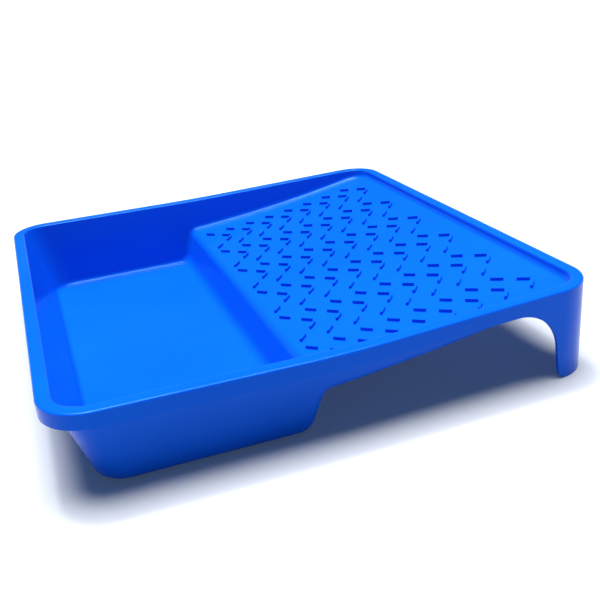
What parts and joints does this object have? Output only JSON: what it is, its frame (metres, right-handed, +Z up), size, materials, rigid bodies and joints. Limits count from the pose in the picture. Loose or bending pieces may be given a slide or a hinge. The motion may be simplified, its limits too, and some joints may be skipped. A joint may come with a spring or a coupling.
{
  "type": "paint roller tray",
  "caption": "Shallow plastic tray with a flat-floored paint well, a ribbed sloping ramp to roll off a paint roller, a rim all round and legs under the ramp end.",
  "frame": {"origin": "on the standing surface, under the middle of the rim's bounding rectangle", "axes": "+X from the paint well to the ramp end, +Y across the tray to its left, +Z up"},
  "size_m": [0.33, 0.35, 0.0593],
  "materials": {
    "tray_plastic": "solid blue injection-moulded polypropylene, satin to glossy"
  },
  "bodies": {
    "root": {"well_floor": "tray_plastic", "well_end_wall": "tray_plastic", "well_side_left": "tray_plastic", "well_side_right": "tray_plastic", "step_wall": "tray_plastic", "ramp_deck": "tray_plastic", "ramp_side_left": "tray_plastic", "ramp_side_right": "tray_plastic", "ramp_end_wall": "tray_plastic", "grip_ribs": "tray_plastic", "rim_well_end": "tray_plastic", "rim_left": "tray_plastic", "rim_right": "tray_plastic", "rim_ramp_end": "tray_plastic", "skirt_well_end": "tray_plastic", "skirt_left": "tray_plastic", "skirt_right": "tray_plastic", "skirt_ramp_end": "tray_plastic", "leg_left": "tray_plastic", "leg_right": "tray_plastic"}
  },
  "joints": []
}
